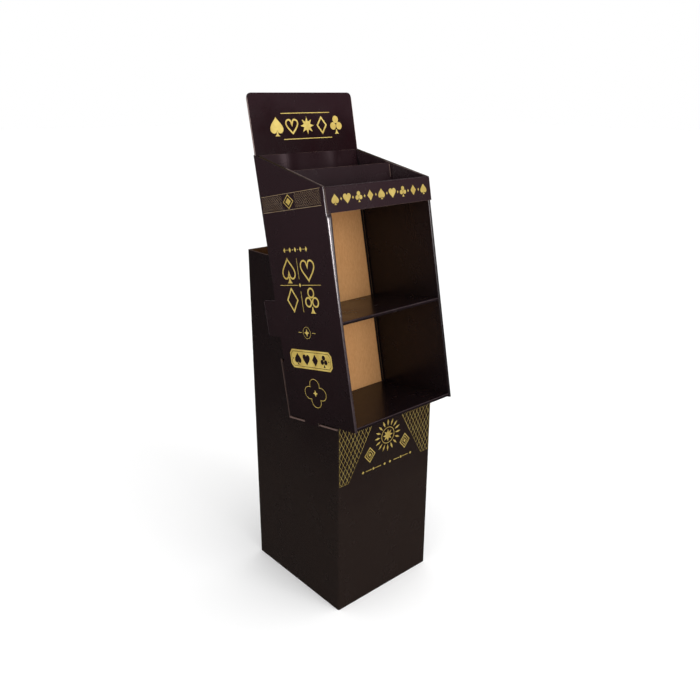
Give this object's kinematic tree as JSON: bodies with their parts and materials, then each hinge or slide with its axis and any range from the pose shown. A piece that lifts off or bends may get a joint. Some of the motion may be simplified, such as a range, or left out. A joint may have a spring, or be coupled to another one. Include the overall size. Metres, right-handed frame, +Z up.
{
  "type": "cardboard display stand",
  "caption": "Free-standing floor display of folded corrugated board: a tall printed base sleeve, a leaning open-front case with shelves, a divided bin on top and a header card.",
  "frame": {"origin": "on the floor, under the middle of the base sleeve", "axes": "+Z up, front of the stand towards -Y, +X to the right of someone facing it"},
  "size_m": [0.4086, 0.5178, 1.5743],
  "materials": {
    "printed_board": "satin printed corrugated board, bare kraft inside",
    "gold_print": "satin gold ink on board"
  },
  "bodies": {
    "root": {"base_sleeve": "printed_board", "case_body": "printed_board", "case_floor": "printed_board", "middle_shelf": "printed_board", "bin_tray": "printed_board", "bin_divider": "printed_board", "header_card": "printed_board"}
  },
  "joints": []
}
